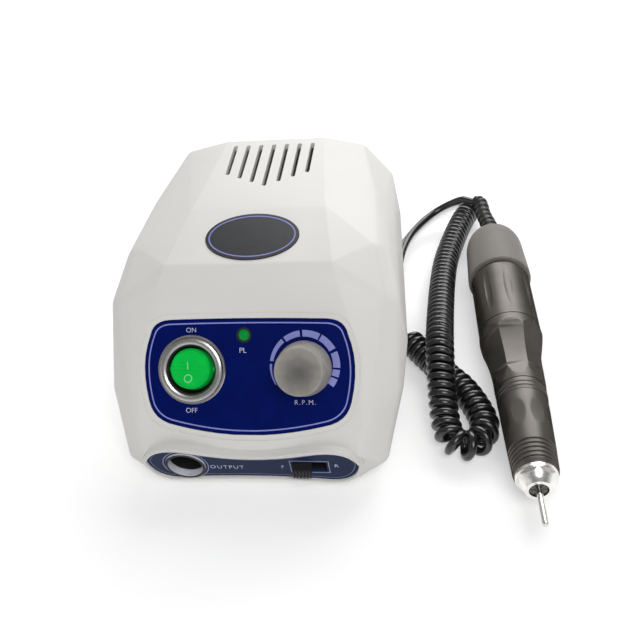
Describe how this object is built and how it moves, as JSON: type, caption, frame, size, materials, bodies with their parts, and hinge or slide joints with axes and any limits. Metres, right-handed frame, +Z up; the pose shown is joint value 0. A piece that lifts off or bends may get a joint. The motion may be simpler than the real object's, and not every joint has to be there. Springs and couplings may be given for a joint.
{
  "type": "dental micromotor",
  "caption": "Bench dental micromotor: sloped control box with rocker switch, speed knob, output socket and direction slider, and a collet handpiece on a curly cord.",
  "frame": {"origin": "on the table under the middle of the control box", "axes": "+Z up, -Y out of the front panels, +X to the right of the box as seen from the front"},
  "size_m": [0.1717, 0.2285, 0.085],
  "materials": {
    "case_white": "satin moulded",
    "panel_navy": "smooth printed film",
    "panel_slate": "smooth printed film",
    "badge_black": "gloss",
    "feet_rubber": "matt",
    "bright_chrome": "polished",
    "switch_black": "fine moulded",
    "lit_green": "translucent lit",
    "knob_grey": "fine grain",
    "plated_steel": "bright zinc",
    "heat_sink_metal": "extruded",
    "core_steel": "stacked sheet",
    "winding_copper": "wound wire",
    "contact_brass": "bright",
    "board_green": "lacquered",
    "sleeve_slate": "wrapped film",
    "magnet_grey": "sintered",
    "handpiece_dark": "fine satin",
    "handpiece_metal": "anodised satin",
    "tool_steel": "ground",
    "cord_black": "gloss"
  },
  "bodies": {
    "control_box": {"top_cover": "case_white", "base": "case_white", "front_fascia": "panel_navy", "front_bezel": "case_white", "lower_fascia": "panel_slate", "badge": "badge_black", "rubber_feet": "feet_rubber", "case_screws": "plated_steel", "switch_ring": "bright_chrome", "switch_body": "switch_black", "switch_terminals": "contact_brass", "pilot_lamp": "lit_green", "lamp_holder": "switch_black", "potentiometer": "plated_steel", "pot_nut": "plated_steel", "output_socket": "plated_steel", "socket_insert": "switch_black", "direction_switch": "switch_black", "transformer_core": "core_steel", "transformer_winding": "winding_copper", "transformer_bracket": "plated_steel", "inner_screws": "plated_steel", "circuit_board": "board_green", "capacitor": "sleeve_slate", "heat_sink": "heat_sink_metal", "power_transistor": "switch_black", "cord_gland": "switch_black", "fuse_holder": "switch_black"},
    "power_rocker": {"power_rocker": "lit_green"},
    "speed_knob": {"speed_knob": "knob_grey", "pot_shaft": "plated_steel"},
    "direction_slider": {"direction_slider": "switch_black"},
    "handpiece": {"rear_cap": "handpiece_dark", "motor_sleeve": "handpiece_metal", "motor_can": "core_steel", "field_magnets": "magnet_grey", "brush_plate": "sleeve_slate", "brushes": "magnet_grey", "front_bell": "sleeve_slate", "motor_bearings": "tool_steel", "inner_barrel": "tool_steel", "lock_ring": "handpiece_metal", "front_sleeve": "handpiece_metal", "spindle_bearings": "tool_steel", "chuck_spring": "tool_steel", "nose_cone": "bright_chrome", "strain_relief": "cord_black", "cord": "cord_black", "plug_body": "cord_black", "plug_shell": "plated_steel", "plug_pins": "contact_brass"},
    "chuck_sleeve": {"chuck_sleeve": "handpiece_metal"},
    "spindle": {"motor_shaft": "tool_steel", "armature": "winding_copper", "commutator": "contact_brass", "spindle": "tool_steel", "collet": "tool_steel"},
    "tool_pin": {"test_pin": "tool_steel"}
  },
  "joints": [
    {"name": "rocker_tilt", "type": "hinge", "parent": "control_box", "child": "power_rocker", "pos_m": [-0.0216, -0.04462, 0.04326], "axis": [1, 0, 0], "range_deg": [0, 16]},
    {"name": "speed_turn", "type": "hinge", "parent": "control_box", "child": "speed_knob", "pos_m": [0.0214, -0.04625, 0.04509], "axis": [0, -0.8039, 0.5948], "range_deg": [-280, 0]},
    {"name": "direction_slide", "type": "slide", "parent": "control_box", "child": "direction_slider", "axis": [1, 0, 0], "range_m": [0, 0.0054]},
    {"name": "handpiece_lift", "type": "slide", "parent": "control_box", "child": "handpiece", "axis": [0.6, 0, 0.8], "range_m": [0, 0.15]},
    {"name": "chuck_turn", "type": "hinge", "parent": "handpiece", "child": "chuck_sleeve", "pos_m": [0.09625, 0.047, 0.014], "axis": [0.0741, -0.9972, -0.0122], "range_deg": [0, 90]},
    {"name": "spindle_spin", "type": "hinge", "parent": "handpiece", "child": "spindle", "pos_m": [0.09625, 0.047, 0.014], "axis": [0.0741, -0.9972, -0.0122], "continuous": true},
    {"name": "pin_pull", "type": "slide", "parent": "spindle", "child": "tool_pin", "axis": [0.0741, -0.9972, -0.0122], "range_m": [0, 0.03]}
  ]
}
